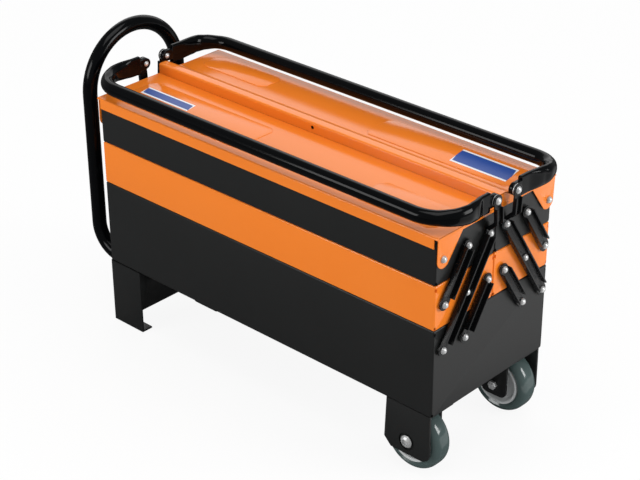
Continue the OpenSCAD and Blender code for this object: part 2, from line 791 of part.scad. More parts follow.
module foot_bracket() {
    color(BLACK) on_box() difference() {
        union() {
            for (side = [FRONT, REAR]) on_side(side) leg();
            translate([-half_l + leg_w - leg_t, -half_d, -cross_h])
                cube([leg_t, body_d, cross_h]);
        }
        for (side = [FRONT, REAR]) on_side(side) {
            slot_r = push_r + tube_slot_gap;
            translate([-half_l + leg_w, push_half, push_z]) {
                rod_x(slot_r, -2 * leg_t, 3 * leg_t);
                translate([-2 * leg_t, -slot_r, 0]) cube([3 * leg_t, 2 * slot_r, push_r + CUT]);
            }
            translate([leg_bolt_x, leg_bolt_y, -leg_t - CUT])
                cylinder(r = bolt_r + bolt_gap, h = leg_t + 2 * CUT);
        }
    }
}

// A bolt with its head below a sheet of the given thickness, through the floor of the box.
module floor_bolt(below) {
    translate([0, 0, -below - bolt_head_h]) cylinder(r = bolt_head_r, h = bolt_head_h);
    translate([0, 0, -below]) cylinder(r = bolt_r, h = below + sheet_t + bolt_head_h + 1);
}

module floor_nut() {
    translate([0, 0, sheet_t]) difference() {
        cylinder(r = bolt_head_r, h = bolt_head_h, $fn = 6);
        translate([0, 0, -CUT]) cylinder(r = bolt_r + bolt_gap, h = bolt_head_h + 2 * CUT);
    }
}

module foot_bolts() {
    color(ZINC) for (side = [FRONT, REAR]) on_box() on_side(side)
        translate([leg_bolt_x, leg_bolt_y, 0]) floor_bolt(leg_t);
}

module foot_nuts() {
    color(ZINC) for (side = [FRONT, REAR]) on_box() on_side(side)
        translate([leg_bolt_x, leg_bolt_y, 0]) floor_nut();
}

// ---- wheels -------------------------------------------------------------------------------

// A fork's outer plate seen along Y, from the right end wall.
module outer_plate() {
    left = -fork_w - fork_flare;
    polygon([[-fork_w, 0], [left, -fork_h + fork_slant], [left + fork_slant, -fork_h],
        [-fork_edge - fork_corner, -fork_h], [-fork_edge - fork_corner, -fork_h + fork_corner],
        [-fork_edge, -fork_h + fork_corner], [-fork_edge, 0]]);
    translate([-fork_edge - fork_corner, -fork_h + fork_corner]) circle(r = fork_corner);
}

// A fork's inner plate, which is narrower and has two round lower corners.
module inner_plate() {
    round_at = [-1, 1] * (fork_inner_w / 2 - fork_inner_corner);
    translate([-axle_in, 0]) {
        translate([-fork_inner_w / 2, -fork_inner_h + fork_inner_corner])
            square([fork_inner_w, fork_inner_h - fork_inner_corner]);
        translate([round_at[0], -fork_inner_h]) square([round_at[1] - round_at[0], fork_inner_h]);
        for (x = round_at) translate([x, -fork_inner_h + fork_inner_corner])
            circle(r = fork_inner_corner);
    }
}

module upright(y, t) {
    translate([0, y + t, 0]) rotate([90, 0, 0]) linear_extrude(t) children();
}

module fork(side) {
    inner_y = fork_out - 2 * fork_t - fork_gap;
    color(BLACK) at_corner(side, RIGHT) difference() {
        union() {
            upright(fork_out - fork_t, fork_t) outer_plate();
            upright(inner_y, fork_t) inner_plate();
            translate([-fork_w, inner_y, -fork_t])
                cube([fork_w - fork_edge, fork_out - inner_y, fork_t]);
        }
        translate([-axle_in, 0, axle_z]) rod_y(axle_r + bolt_gap, 0, fork_out + CUT);
        for (x = fork_bolt_x) translate([x, fork_bolt_y, -fork_t - CUT])
            cylinder(r = bolt_r + bolt_gap, h = fork_t + 2 * CUT);
    }
}

module fork_bolts() {
    color(ZINC) for (side = [FRONT, REAR], x = fork_bolt_x)
        at_corner(side, RIGHT) translate([x, fork_bolt_y, 0]) floor_bolt(fork_t);
}

module fork_nuts() {
    color(ZINC) for (side = [FRONT, REAR], x = fork_bolt_x)
        at_corner(side, RIGHT) translate([x, fork_bolt_y, 0]) floor_nut();
}

module on_axle(side) {
    at_corner(side, RIGHT) translate([-axle_in, wheel_y, axle_z]) children();
}

module axle_bolt(side) {
    out = fork_gap / 2 + fork_t;
    color(ZINC) on_axle(side) {
        rod_y(axle_r, -out - axle_nut_h - 1, 2 * out + axle_nut_h + 1);
        translate([0, out, 0]) rotate([0, 0, 90]) dome_x(axle_head_r, axle_head_h, 0);
    }
}

module axle_nut(side) {
    out = fork_gap / 2 + fork_t;
    color(ZINC) on_axle(side) difference() {
        translate([0, -out, 0]) rotate([90, 0, 0])
            cylinder(r = axle_nut_r, h = axle_nut_h, $fn = 6);
        rod_y(axle_r + bolt_gap, -out - axle_nut_h - CUT, axle_nut_h + 2 * CUT);
    }
}

bore_r = axle_r + run_gap + bush_t;

module wheel_bush(side) {
    long = fork_gap - 4 * stack_gap;
    color(ZINC) on_axle(side) difference() {
        rod_y(bore_r, -long / 2, long);
        rod_y(axle_r + run_gap, -long / 2 - CUT, long + 2 * CUT);
    }
}

// Half section of a hub: a dished web between a boss and a rim.
module hub_section() {
    rim_w = wheel_w - 2;
    half = rim_w / 2;
    polygon([[bore_r + run_gap, -boss_w / 2], [boss_r, -boss_w / 2],
        [boss_r + 1, -half * 0.35], [hub_r - 6, -half * 0.6], [hub_r - 3, -half],
        [hub_r, -half], [hub_r, half], [hub_r - 3, half], [hub_r - 6, half * 0.6],
        [boss_r + 1, half * 0.35], [boss_r, boss_w / 2], [bore_r + run_gap, boss_w / 2]]);
}

module spun(side) {
    on_axle(side) rotate([90, 0, 0]) rotate_extrude() children();
}

module wheel_hub(side) {
    color(GREY) spun(side) hub_section();
}

// Half section of a tyre with rounded shoulders.
module wheel_tyre(side) {
    edge = wheel_w / 2 - tyre_edge;
    color(TYRE) spun(side) {
        translate([hub_r, -edge]) square([wheel_r - hub_r, 2 * edge]);
        translate([hub_r, -wheel_w / 2]) square([wheel_r - tyre_edge - hub_r, wheel_w]);
        for (y = [-edge, edge]) intersection() {
            translate([wheel_r - tyre_edge, y]) circle(r = tyre_edge);
            translate([hub_r, -wheel_w]) square([wheel_r, 2 * wheel_w]);
        }
    }
}

// ---- output -------------------------------------------------------------------------------

bottom_box();
box_rivets();
foot_bracket();
foot_bolts();
foot_nuts();
push_handle();
tube_clamps();
clamp_rivets();
fork(FRONT);  // front_fork
fork(REAR);  // rear_fork
fork_bolts();
fork_nuts();
axle_bolt(FRONT);  // front_axle_bolt
axle_nut(FRONT);  // front_axle_nut
axle_bolt(REAR);  // rear_axle_bolt
axle_nut(REAR);  // rear_axle_nut
wheel_hub(FRONT);  // front_wheel_hub
wheel_tyre(FRONT);  // front_wheel_tyre
wheel_bush(FRONT);  // front_wheel_bush
wheel_hub(REAR);  // rear_wheel_hub
wheel_tyre(REAR);  // rear_wheel_tyre
wheel_bush(REAR);  // rear_wheel_bush
at_corner(FRONT, LEFT) long_arm();  // front_long_arm_left
at_corner(FRONT, RIGHT) long_arm();  // front_long_arm_right
at_corner(FRONT, LEFT) short_link(pivot_mid, z_low);  // front_lower_link_left
at_corner(FRONT, RIGHT) short_link(pivot_mid, z_low);  // front_lower_link_right
at_corner(FRONT, LEFT) short_link(pivot_out, z_mid);  // front_upper_link_left
at_corner(FRONT, RIGHT) short_link(pivot_out, z_mid);  // front_upper_link_right
middle_tray(FRONT);  // front_middle_tray
arm_rivets(FRONT, middle_spots);  // front_middle_rivets
top_tray(FRONT);  // front_top_tray
top_rivets(FRONT);  // front_top_rivets
front_lid();
front_label();
bail(FRONT, front_bail_bend, front_bail_rest);  // front_handle
handle_rivets(FRONT);  // front_handle_rivets
handle_washers(FRONT);  // front_handle_washers
at_corner(REAR, LEFT) long_arm();  // rear_long_arm_left
at_corner(REAR, RIGHT) long_arm();  // rear_long_arm_right
at_corner(REAR, LEFT) short_link(pivot_mid, z_low);  // rear_lower_link_left
at_corner(REAR, RIGHT) short_link(pivot_mid, z_low);  // rear_lower_link_right
at_corner(REAR, LEFT) short_link(pivot_out, z_mid);  // rear_upper_link_left
at_corner(REAR, RIGHT) short_link(pivot_out, z_mid);  // rear_upper_link_right
middle_tray(REAR);  // rear_middle_tray
arm_rivets(REAR, middle_spots);  // rear_middle_rivets
top_tray(REAR);  // rear_top_tray
top_rivets(REAR);  // rear_top_rivets
rear_lid();
rear_label();
bail(REAR, rear_bail_bend, rear_bail_rest);  // rear_handle
handle_rivets(REAR);  // rear_handle_rivets
handle_washers(REAR);  // rear_handle_washers
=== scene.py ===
"""Looks of a wheeled cantilever tool box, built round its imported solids.

Sizes are in millimetres, measured from the middle of the box's underside: X along the box
towards the wheels, Y towards the rear and Z up. They become metres in the part's own frame
as each vertex is placed.
"""

import logging
import math
from contextlib import contextmanager
from dataclasses import dataclass, field
from enum import Enum
from typing import Callable, Iterator, Optional, Sequence

import bmesh
import bpy
from bpy.types import Material, Object
from mathutils import Matrix, Vector


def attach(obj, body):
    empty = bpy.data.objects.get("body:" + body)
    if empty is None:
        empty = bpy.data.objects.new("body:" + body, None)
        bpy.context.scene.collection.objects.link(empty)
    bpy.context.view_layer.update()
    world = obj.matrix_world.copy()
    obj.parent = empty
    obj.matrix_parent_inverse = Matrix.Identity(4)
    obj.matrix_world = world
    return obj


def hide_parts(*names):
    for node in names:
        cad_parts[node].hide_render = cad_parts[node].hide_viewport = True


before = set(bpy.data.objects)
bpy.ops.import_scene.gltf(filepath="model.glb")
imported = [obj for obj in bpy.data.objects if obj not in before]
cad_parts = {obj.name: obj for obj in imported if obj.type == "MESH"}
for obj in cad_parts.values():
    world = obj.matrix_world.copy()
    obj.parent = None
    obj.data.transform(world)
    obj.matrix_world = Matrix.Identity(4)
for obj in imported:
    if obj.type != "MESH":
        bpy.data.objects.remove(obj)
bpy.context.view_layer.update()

LOG = logging.getLogger("tool_box")

MM = 0.001
BODY_X = 18.8
FLOOR_GAP = 82.5
HALF_L = 250.0
HALF_D = 94.5
AXLE_X = 216.3
AXLE_Z = -45.0
BAIL_PIVOT = (16.5, 228.0)
LID_PIVOT = (86.7, 186.5)
FULL_TURN = 2 * math.pi
Point = tuple[float, float, float]


class Side(Enum):
    """The front or the rear half of the box."""

    FRONT = -1
    REAR = 1

    @property
    def prefix(self) -> str:
        """The word that starts the names of this side's nodes and bodies."""
        return self.name.lower()


class End(Enum):
    """The left or the right end of the box."""

    LEFT = -1
    RIGHT = 1


def placed(x: float, y: float, z: float) -> Vector:
    """Turns box millimetres into metres of the part's frame."""
    return Vector(((x + BODY_X) * MM, y * MM, (z + FLOOR_GAP) * MM))


def linear(red: int, green: int, blue: int) -> tuple[float, float, float, float]:
    """Turns a screen colour of 0 to 255 into the linear colour that shaders take."""

    def one(value: int) -> float:
        share = value / 255
        return share / 12.92 if share <= 0.04045 else ((share + 0.055) / 1.055) ** 2.4

    return one(red), one(green), one(blue), 1.0


# ---- materials ----------------------------------------------------------------------------


@dataclass
class Value:
    """A socket that takes part in sums, so that shader maths reads as plain expressions."""

    graph: "Graph"
    socket: bpy.types.NodeSocket

    def _math(self, operation: str, *values: object) -> "Value":
        """Adds one Math node."""
        node = self.graph.node("ShaderNodeMath", {"operation": operation}, dict(enumerate(values)))
        return Value(self.graph, node.outputs[0])

    def __add__(self, other: object) -> "Value":
        """Adds."""
        return self._math("ADD", self, other)

    def __radd__(self, other: object) -> "Value":
        """Adds, with the number first."""
        return self._math("ADD", other, self)

    def __sub__(self, other: object) -> "Value":
        """Subtracts."""
        return self._math("SUBTRACT", self, other)

    def __rsub__(self, other: object) -> "Value":
        """Subtracts from a number."""
        return self._math("SUBTRACT", other, self)

    def __mul__(self, other: object) -> "Value":
        """Multiplies."""
        return self._math("MULTIPLY", self, other)

    def __rmul__(self, other: object) -> "Value":
        """Multiplies, with the number first."""
        return self._math("MULTIPLY", other, self)

    def over(self, limit: object) -> "Value":
        """One where this is above the limit, else zero."""
        return self._math("GREATER_THAN", self, limit)

    def size(self) -> "Value":
        """The value without its sign."""
        return self._math("ABSOLUTE", self)


class Graph:
    """The node tree of one material."""

    def __init__(self, name: str) -> None:
        """Starts an empty material.

        Args:
            name: The material's name.
        """
        self.material = bpy.data.materials.new(name)
        self.material.use_nodes = True
        self.tree = self.material.node_tree
        self.tree.nodes.clear()

    def node(
        self,
        kind: str,
        settings: Optional[dict[str, object]] = None,
        inputs: Optional[dict[object, object]] = None,
    ) -> bpy.types.Node:
        """Adds a node, sets its options, and then its sockets.

        Args:
            kind: The node's type.
            settings: Options of the node.
            inputs: Values or links, by socket name or number.

        Returns:
            The new node.
        """
        made = self.tree.nodes.new(kind)
        for key, value in (settings or {}).items():
            setattr(made, key, value)
        for key, value in (inputs or {}).items():
            if isinstance(value, Value):
                self.tree.links.new(value.socket, made.inputs[key])
            elif isinstance(value, bpy.types.NodeSocket):
                self.tree.links.new(value, made.inputs[key])
            else:
                made.inputs[key].default_value = value
        return made

    def place(self) -> bpy.types.NodeSocket:
        """The point on the piece, in metres."""
        return self.node("ShaderNodeTexCoord").outputs["Object"]

    def axes(self) -> tuple[Value, Value, Value]:
        """The point's X, Y and Z as values."""
        split = self.node("ShaderNodeSeparateXYZ", None, {0: self.place()})
        x, y, z = (Value(self, out) for out in split.outputs)
        return x, y, z

    def noise(self, scale: float, detail: float = 2.0, stretch: Point = (1, 1, 1)) -> Value:
        """Smooth noise of 0 to 1 over the piece.

        Args:
            scale: Lumps per metre.
            detail: How many finer layers it has.
            stretch: Factors on the three axes.

        Returns:
            The noise.
        """
        mapped = self.node(
            "ShaderNodeMapping", None, {"Vector": self.place(), "Scale": stretch}
        ).outputs[0]
        made = self.node(
            "ShaderNodeTexNoise", None, {"Vector": mapped, "Scale": scale, "Detail": detail}
        )
        return Value(self, made.outputs["Fac"])

    def blend(self, share: object, low: object, high: object) -> bpy.types.NodeSocket:
        """Mixes two colours by a share of 0 to 1."""
        made = self.node("ShaderNodeMix", {"data_type": "RGBA"}, {0: share, 6: low, 7: high})
        return made.outputs[2]

    def bump(self, height: Value, depth: float) -> bpy.types.NodeSocket:
        """Turns a height into a tilted surface normal.

        Args:
            height: Height of 0 to 1.
            depth: What 1 stands for, in metres.

        Returns:
            The normal.
        """
        made = self.node("ShaderNodeBump", None, {"Height": height, "Distance": depth})
        return made.outputs[0]

    def finish(self, sockets: dict[str, object]) -> Material:
        """Adds the surface shader and closes the material.

        Args:
            sockets: Values and links of the Principled shader.

        Returns:
            The material.
        """
        shader = self.node("ShaderNodeBsdfPrincipled", None, sockets)
        self.node("ShaderNodeOutputMaterial", None, {0: shader.outputs[0]})
        return self.material


@dataclass(frozen=True)
class Paint:
    """Baked powder paint: orange peel, slight clouds, and a near-black band of painted shade at one
    height, standing in for the shadow in the gap along the box's bottom edge.
    """

    name: str
    slot: str
    colour: tuple[float, float, float, float]
    deep: tuple[float, float, float, float]
    roughness: float
    specular: float
    peel_scale: float = 900.0
    peel_depth: float = 0.00002
    # Height of the band of painted shade, in millimetres, and its half width.
    seam: Optional[float] = None
    seam_half: float = 1.1

    def build(self) -> Material:
        """Makes the material."""
        graph = Graph(self.name)
        clouds = graph.noise(9.0, 3.0)
        grain = graph.noise(self.peel_scale, 1.0)
        colour = graph.blend(clouds, self.deep, self.colour)
        # Painted shade: near-black within the half width of the given height, standing in for the
        # shadow in the gap along the box's bottom edge.
        if self.seam is not None:
            outside_painted_shade = (graph.axes()[2] - self.seam * MM).size().over(self.seam_half * MM)
            colour = graph.blend(outside_painted_shade, linear(3, 3, 3), colour)
        return graph.finish(
            {
                "Base Color": colour,
                "Roughness": self.roughness + 0.06 * (clouds - 0.5) + 0.05 * (grain - 0.5),
                "Specular IOR Level": self.specular,
                "Normal": graph.bump(grain, self.peel_depth),
            }
        )


@dataclass(frozen=True)
class Plating:
    """Bright zinc on steel, with fine scratches and duller patches."""

    name: str
    slot: str
    colour: tuple[float, float, float, float]
    dull: tuple[float, float, float, float]
    roughness: float
    metallic: float = 1.0

    def build(self) -> Material:
        """Makes the material."""
        graph = Graph(self.name)
        patches = graph.noise(180.0, 3.0)
        scratches = graph.noise(700.0, 2.0, (1.0, 0.15, 1.0))
        return graph.finish(
            {
                "Base Color": graph.blend(patches, self.dull, self.colour),
                "Metallic": self.metallic,
                "Roughness": self.roughness + 0.18 * (patches - 0.4) + 0.06 * (scratches - 0.5),
                "Normal": graph.bump(scratches, 0.00001),
            }
        )


@dataclass(frozen=True)
class Moulding:
    """Moulded plastic or rubber with a faint texture."""

    name: str
    slot: str
    colour: tuple[float, float, float, float]
    worn: tuple[float, float, float, float]
    roughness: float
    specular: float = 0.4
    grain_scale: float = 420.0
    grain_depth: float = 0.00003

    def build(self) -> Material:
        """Makes the material."""
        graph = Graph(self.name)
        clouds = graph.noise(45.0, 3.0)
        grain = graph.noise(self.grain_scale, 2.0)
        return graph.finish(
            {
                "Base Color": graph.blend(clouds, self.worn, self.colour),
                "Roughness": self.roughness + 0.1 * (clouds - 0.5),
                "Specular IOR Level": self.specular,
                "Normal": graph.bump(grain, self.grain_depth),
            }
        )


@dataclass(frozen=True)
class Print:
    """A printed film with a pale border and one plain field, and no lettering."""

    name: str
    slot: str
    centre: tuple[float, float]
    half_size: tuple[float, float]
    border: float
    band: tuple[float, float]
    slant: float = 0.35
    paper: tuple[float, float, float, float] = linear(236, 239, 243)
    ink: tuple[float, float, float, float] = linear(38, 74, 150)

    def build(self) -> Material:
        """Makes the material."""
        graph = Graph(self.name)
        x, y, _ = graph.axes()
        middle = placed(self.centre[0], self.centre[1], 0)
        dx = x - middle.x
        dy = y - middle.y
        low, high = (v * MM for v in self.band)
        wide = ((self.half_size[0] - self.border) * MM - (dx + dy * self.slant).size()).over(0.0)
        tall = (dy - low).over(0.0) * (high - dy).over(0.0)
        field_mask = wide * tall
        grain = graph.noise(300.0)
        shade = graph.blend(grain, linear(228, 231, 236), self.paper)
        return graph.finish(
            {
                "Base Color": graph.blend(field_mask, shade, self.ink),
                "Roughness": 0.28 + 0.08 * grain,
                "Specular IOR Level": 0.45,
                "Normal": graph.bump(grain, 0.00001),
            }
        )


# This black paint carries painted shade: a near-black band at the height of the box's bottom edge,
# for the shadow in the gap there.
BOX_BLACK = Paint(
    "black_powder_coat", "black_paint", linear(30, 31, 31), linear(26, 27, 27), 0.4, 0.36,
    seam=FLOOR_GAP,
)
TUBE_BLACK = Paint(
    "black_gloss_coat", "black_paint", linear(6, 7, 9), linear(4, 5, 6), 0.12, 0.14,
    peel_scale=500.0, peel_depth=0.000012,
)
ARM_BLACK = Paint(
    "black_arm_coat", "black_paint", linear(15, 16, 18), linear(10, 11, 12), 0.28, 0.27,
    peel_scale=700.0, peel_depth=0.000015,
)
ORANGE = Paint(
    "orange_powder_coat", "orange_paint", linear(239, 130, 42), linear(236, 124, 36), 0.15, 0.5,
    peel_scale=800.0, peel_depth=0.000014,
)
ZINC = Plating(
    "bright_zinc", "bright_zinc", linear(226, 226, 224), linear(190, 192, 194), 0.34, 0.55
)
HUB_GREY = Moulding("grey_hub", "wheel_grey", linear(208, 210, 210), linear(190, 193, 194), 0.25)
TYRE_GREY = Moulding(
    "grey_tyre", "tyre_rubber", linear(74, 89, 88), linear(62, 76, 75), 0.12, 0.6
)


# ---- bench work ---------------------------------------------------------------------------


class Bench:
    """Mesh work, done with Blender's own operators."""

    @staticmethod
    def clear() -> None:
        """Deselects everything."""
        if bpy.context.mode != "OBJECT":
            bpy.ops.object.mode_set(mode="OBJECT")
        bpy.ops.object.select_all(action="DESELECT")

    @staticmethod
    def take(obj: Object) -> None:
        """Makes one object the selected and active one."""
        Bench.clear()
        obj.select_set(True)
        bpy.context.view_layer.objects.active = obj

    @staticmethod
    @contextmanager
    def edit(obj: Object) -> Iterator[None]:
        """Opens an object in edit mode with nothing selected."""
        Bench.take(obj)
        bpy.ops.object.mode_set(mode="EDIT")
        bpy.ops.mesh.select_mode(type="VERT")
        bpy.ops.mesh.select_all(action="DESELECT")
        yield
        bpy.ops.object.mode_set(mode="OBJECT")

    @staticmethod
    def pick_faces(obj: Object, test: Callable[[bmesh.types.BMFace], bool]) -> None:
        """Selects the faces that pass a test, in edit mode."""
        bpy.ops.mesh.select_mode(type="FACE")
        mesh = bmesh.from_edit_mesh(obj.data)
        for face in mesh.faces:
            face.select_set(test(face))
        mesh.select_flush_mode()
        bmesh.update_edit_mesh(obj.data)

    @staticmethod
    def pick_edges(obj: Object, test: Callable[[Vector, Vector], bool]) -> None:
        """Selects the edges whose two ends pass a test, in edit mode."""
        bpy.ops.mesh.select_mode(type="EDGE")
        mesh = bmesh.from_edit_mesh(obj.data)
        for edge in mesh.edges:
            edge.select_set(test(edge.verts[0].co, edge.verts[1].co))
        mesh.select_flush_mode()
        bmesh.update_edit_mesh(obj.data)

    @staticmethod
    def block(name: str, low: Point, high: Point) -> Object:
        """Adds a cuboid between two corners in box millimetres."""
        a, b = placed(*low), placed(*high)
        Bench.clear()
        bpy.ops.mesh.primitive_cube_add(size=1.0, location=(a + b) / 2, scale=b - a)
        obj = bpy.context.active_object
        obj.name = name
        bpy.ops.object.transform_apply(location=True, rotation=True, scale=True)
        return obj

    @staticmethod
    def outline(name: str, points: Sequence[Point], filled: bool = True) -> Object:
        """Adds a polygon, or just its edges, through points in box millimetres."""
        Bench.clear()
        fill = "NGON" if filled else "NOTHING"
        bpy.ops.mesh.primitive_circle_add(vertices=len(points), radius=1.0, fill_type=fill)
        obj = bpy.context.active_object
        obj.name = name
        for vertex, point in zip(obj.data.vertices, points):
            vertex.co = placed(*point)
        return obj

    @staticmethod
    def plate(name: str, points: Sequence[Point], push: Point) -> Object:
        """Extrudes a polygon into a solid.

        Args:
            name: The object's name.
            points: Corners in box millimetres.
            push: The extrusion, in millimetres.

        Returns:
            The closed solid.
        """
        obj = Bench.outline(name, points)
        with Bench.edit(obj):
            bpy.ops.mesh.select_all(action="SELECT")
            bpy.ops.mesh.extrude_region_move(
                TRANSFORM_OT_translate={"value": tuple(v * MM for v in push)}
            )
            bpy.ops.mesh.select_all(action="SELECT")
            bpy.ops.mesh.normals_make_consistent(inside=False)
        return obj

    @staticmethod
    def lathe(name: str, profile: Sequence[tuple[float, float]], centre: Point) -> Object:
        """Spins a closed profile round an axle that lies along Y.

        Args:
            name: The object's name.
            profile: Radius and place along the axle, in millimetres.
            centre: The middle of the axle in box millimetres.

        Returns:
            The closed solid.
        """
        points = [(centre[0], centre[1] + y, centre[2] + r) for r, y in profile]
        obj = Bench.outline(name, points, filled=False)
        with Bench.edit(obj):
            bpy.ops.mesh.select_all(action="SELECT")
            bpy.ops.mesh.spin(
                steps=96, angle=FULL_TURN, center=placed(*centre), axis=(0, 1, 0)
            )
            bpy.ops.mesh.select_all(action="SELECT")
            bpy.ops.mesh.remove_doubles(threshold=1e-6)
            bpy.ops.mesh.normals_make_consistent(inside=False)
        return obj

    @staticmethod
    def tube(name: str, path: Sequence[Point], radius: float, round_steps: int = 8) -> Object:
        """Sweeps a round bar along a path and makes it a mesh.

        Args:
            name: The object's name.
            path: Points in box millimetres.
            radius: The bar's radius in millimetres.
            round_steps: Fineness of the bar's section.

        Returns:
            The closed solid.
        """
        Bench.clear()
        bpy.ops.curve.primitive_nurbs_path_add()
        obj = bpy.context.active_object
        obj.name = name
        curve = obj.data
        curve.splines.clear()
        spline = curve.splines.new("POLY")
        spline.points.add(len(path) - 1)
        for target, point in zip(spline.points, path):
            target.co = (*placed(*point), 1.0)
        curve.dimensions = "3D"
        curve.bevel_depth = radius * MM
        curve.bevel_resolution = round_steps
        curve.use_fill_caps = True
        bpy.ops.object.transform_apply(location=True, rotation=True, scale=True)
        bpy.ops.object.convert(target="MESH")
        obj = bpy.context.active_object
        with Bench.edit(obj):
            bpy.ops.mesh.select_all(action="SELECT")
            bpy.ops.mesh.remove_doubles(threshold=1e-7)
            bpy.ops.mesh.normals_make_consistent(inside=False)
        return obj

    @staticmethod
    def modify(obj: Object, kind: str, **settings: object) -> None:
        """Adds a modifier and applies it."""
        Bench.take(obj)
        modifier = obj.modifiers.new(kind.lower(), kind)
        for key, value in settings.items():
            setattr(modifier, key, value)
        bpy.ops.object.modifier_apply(modifier=modifier.name)

    @staticmethod
    def soften(obj: Object, width: float, steps: int = 2, angle: float = 30.0) -> None:
        """Rounds the sharp edges of a solid.

        Args:
            obj: The object.
            width: Width of the rounding in millimetres.
            steps: Faces across it.
            angle: Edges that turn more than this are rounded, in degrees.
        """
        Bench.modify(
            obj, "BEVEL", width=width * MM, segments=steps, limit_method="ANGLE",
            angle_limit=math.radians(angle), use_clamp_overlap=True, harden_normals=False,
        )

    @staticmethod
    def shade(obj: Object, angle: float = 35.0) -> None:
        """Shades a piece smooth up to an angle in degrees."""
        Bench.take(obj)
        bpy.ops.object.shade_smooth_by_angle(angle=math.radians(angle))

    @staticmethod
    def join(name: str, parts: Sequence[Object]) -> Object:
        """Makes one object of several."""
        Bench.clear()
        for part in parts:
            part.select_set(True)
        bpy.context.view_layer.objects.active = parts[0]
        bpy.ops.object.join()
        obj = bpy.context.active_object
        obj.name = name
        return obj

    @staticmethod
    def cut(obj: Object, tool: Object) -> None:
        """Takes one solid out of another and removes the tool."""
        Bench.modify(obj, "BOOLEAN", operation="DIFFERENCE", object=tool, solver="EXACT")
        bpy.data.objects.remove(tool, do_unlink=True)

    @staticmethod
    def drill(
        obj: Object, centre: Point, radius: float, depth: float, along: str = "X", sides: int = 32
    ) -> None:
        """Cuts a straight hole in a solid.

        Args:
            obj: The solid.
            centre: Middle of the drill, in box millimetres.
            radius: Its radius in millimetres.
            depth: Its length in millimetres.
            along: The axis that it lies along, X or Y.
            sides: Number of sides of the hole.
        """
        quarter = math.pi / 2
        Bench.clear()
        bpy.ops.mesh.primitive_cylinder_add(
            vertices=sides, radius=radius * MM, depth=depth * MM, location=placed(*centre),
            rotation=(0, quarter, 0) if along == "X" else (quarter, 0, 0),
        )
        bpy.ops.object.transform_apply(location=True, rotation=True, scale=True)
        Bench.cut(obj, bpy.context.active_object)

    @staticmethod
    def mirror(obj: Object) -> None:
        """Mirrors a piece from the rear half of the box to the front half."""
        obj.data.transform(Matrix.Scale(-1, 4, (0, 1, 0)))
        with Bench.edit(obj):
            bpy.ops.mesh.select_all(action="SELECT")
            bpy.ops.mesh.flip_normals()

    @staticmethod
    def from_node(node: str, name: str, width: float) -> Object:
        """Copies a CAD node, joins its loose triangles and rounds its edges.

        Args:
            node: The CAD node.
            name: The new piece's name.
            width: Width of the rounding in millimetres.

        Returns:
            The piece, not yet riding on anything.
        """
        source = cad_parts[node]
        obj = bpy.data.objects.new(name, source.data.copy())
        bpy.context.scene.collection.objects.link(obj)
        obj.data.materials.clear()
        with Bench.edit(obj):
            bpy.ops.mesh.select_all(action="SELECT")
            bpy.ops.mesh.customdata_custom_splitnormals_clear()
            bpy.ops.mesh.remove_doubles(threshold=1e-6)
            bpy.ops.mesh.dissolve_limited(angle_limit=math.radians(0.5))
        Bench.soften(obj, width)
        return obj


def arc(
    centre: tuple[float, float], radius: float, start: float, end: float, steps: int
) -> list[tuple[float, float]]:
    """Points on a circle, from one angle to another in degrees."""
    turn = [math.radians(start + (end - start) * i / steps) for i in range(steps + 1)]
    return [(centre[0] + radius * math.cos(a), centre[1] + radius * math.sin(a)) for a in turn]


def smooth(place: float, places: Sequence[float], values: Sequence[float]) -> float:
    """Reads a value between listed places, with soft starts and stops."""
    if place <= places[0]:
        return values[0]
    for (a, low), (b, high) in zip(zip(places, values), zip(places[1:], values[1:])):
        if place <= b:
            share = (place - a) / (b - a)
            share = share * share * (3 - 2 * share)
            return low + (high - low) * share
    return values[-1]


class Shop:
    """Holds the finishes and hands each piece its material and body."""

    def __init__(self) -> None:
        """Starts with no material made."""
        self.made: dict[str, Material] = {}

    def material(self, finish: object) -> Material:
        """The material of a finish, made on first use."""
        if finish.name not in self.made:
            self.made[finish.name] = finish.build()
        return self.made[finish.name]

    def dress(self, obj: Object, finish: object, body: str, *nodes: str) -> Object:
        """Gives a piece its material and its body, and hides the nodes it stands for.

        Args:
            obj: The piece.
            finish: Its finish.
            body: The CAD body that it rides on.
            nodes: CAD nodes that it replaces.

        Returns:
            The piece.
        """
        obj.data.materials.clear()
        obj.data.materials.append(self.material(finish))
        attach(obj, body)
        if nodes:
            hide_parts(*nodes)
        LOG.info("%s rides on %s", obj.name, body)
        return obj


# ---- box and trays ------------------------------------------------------------------------


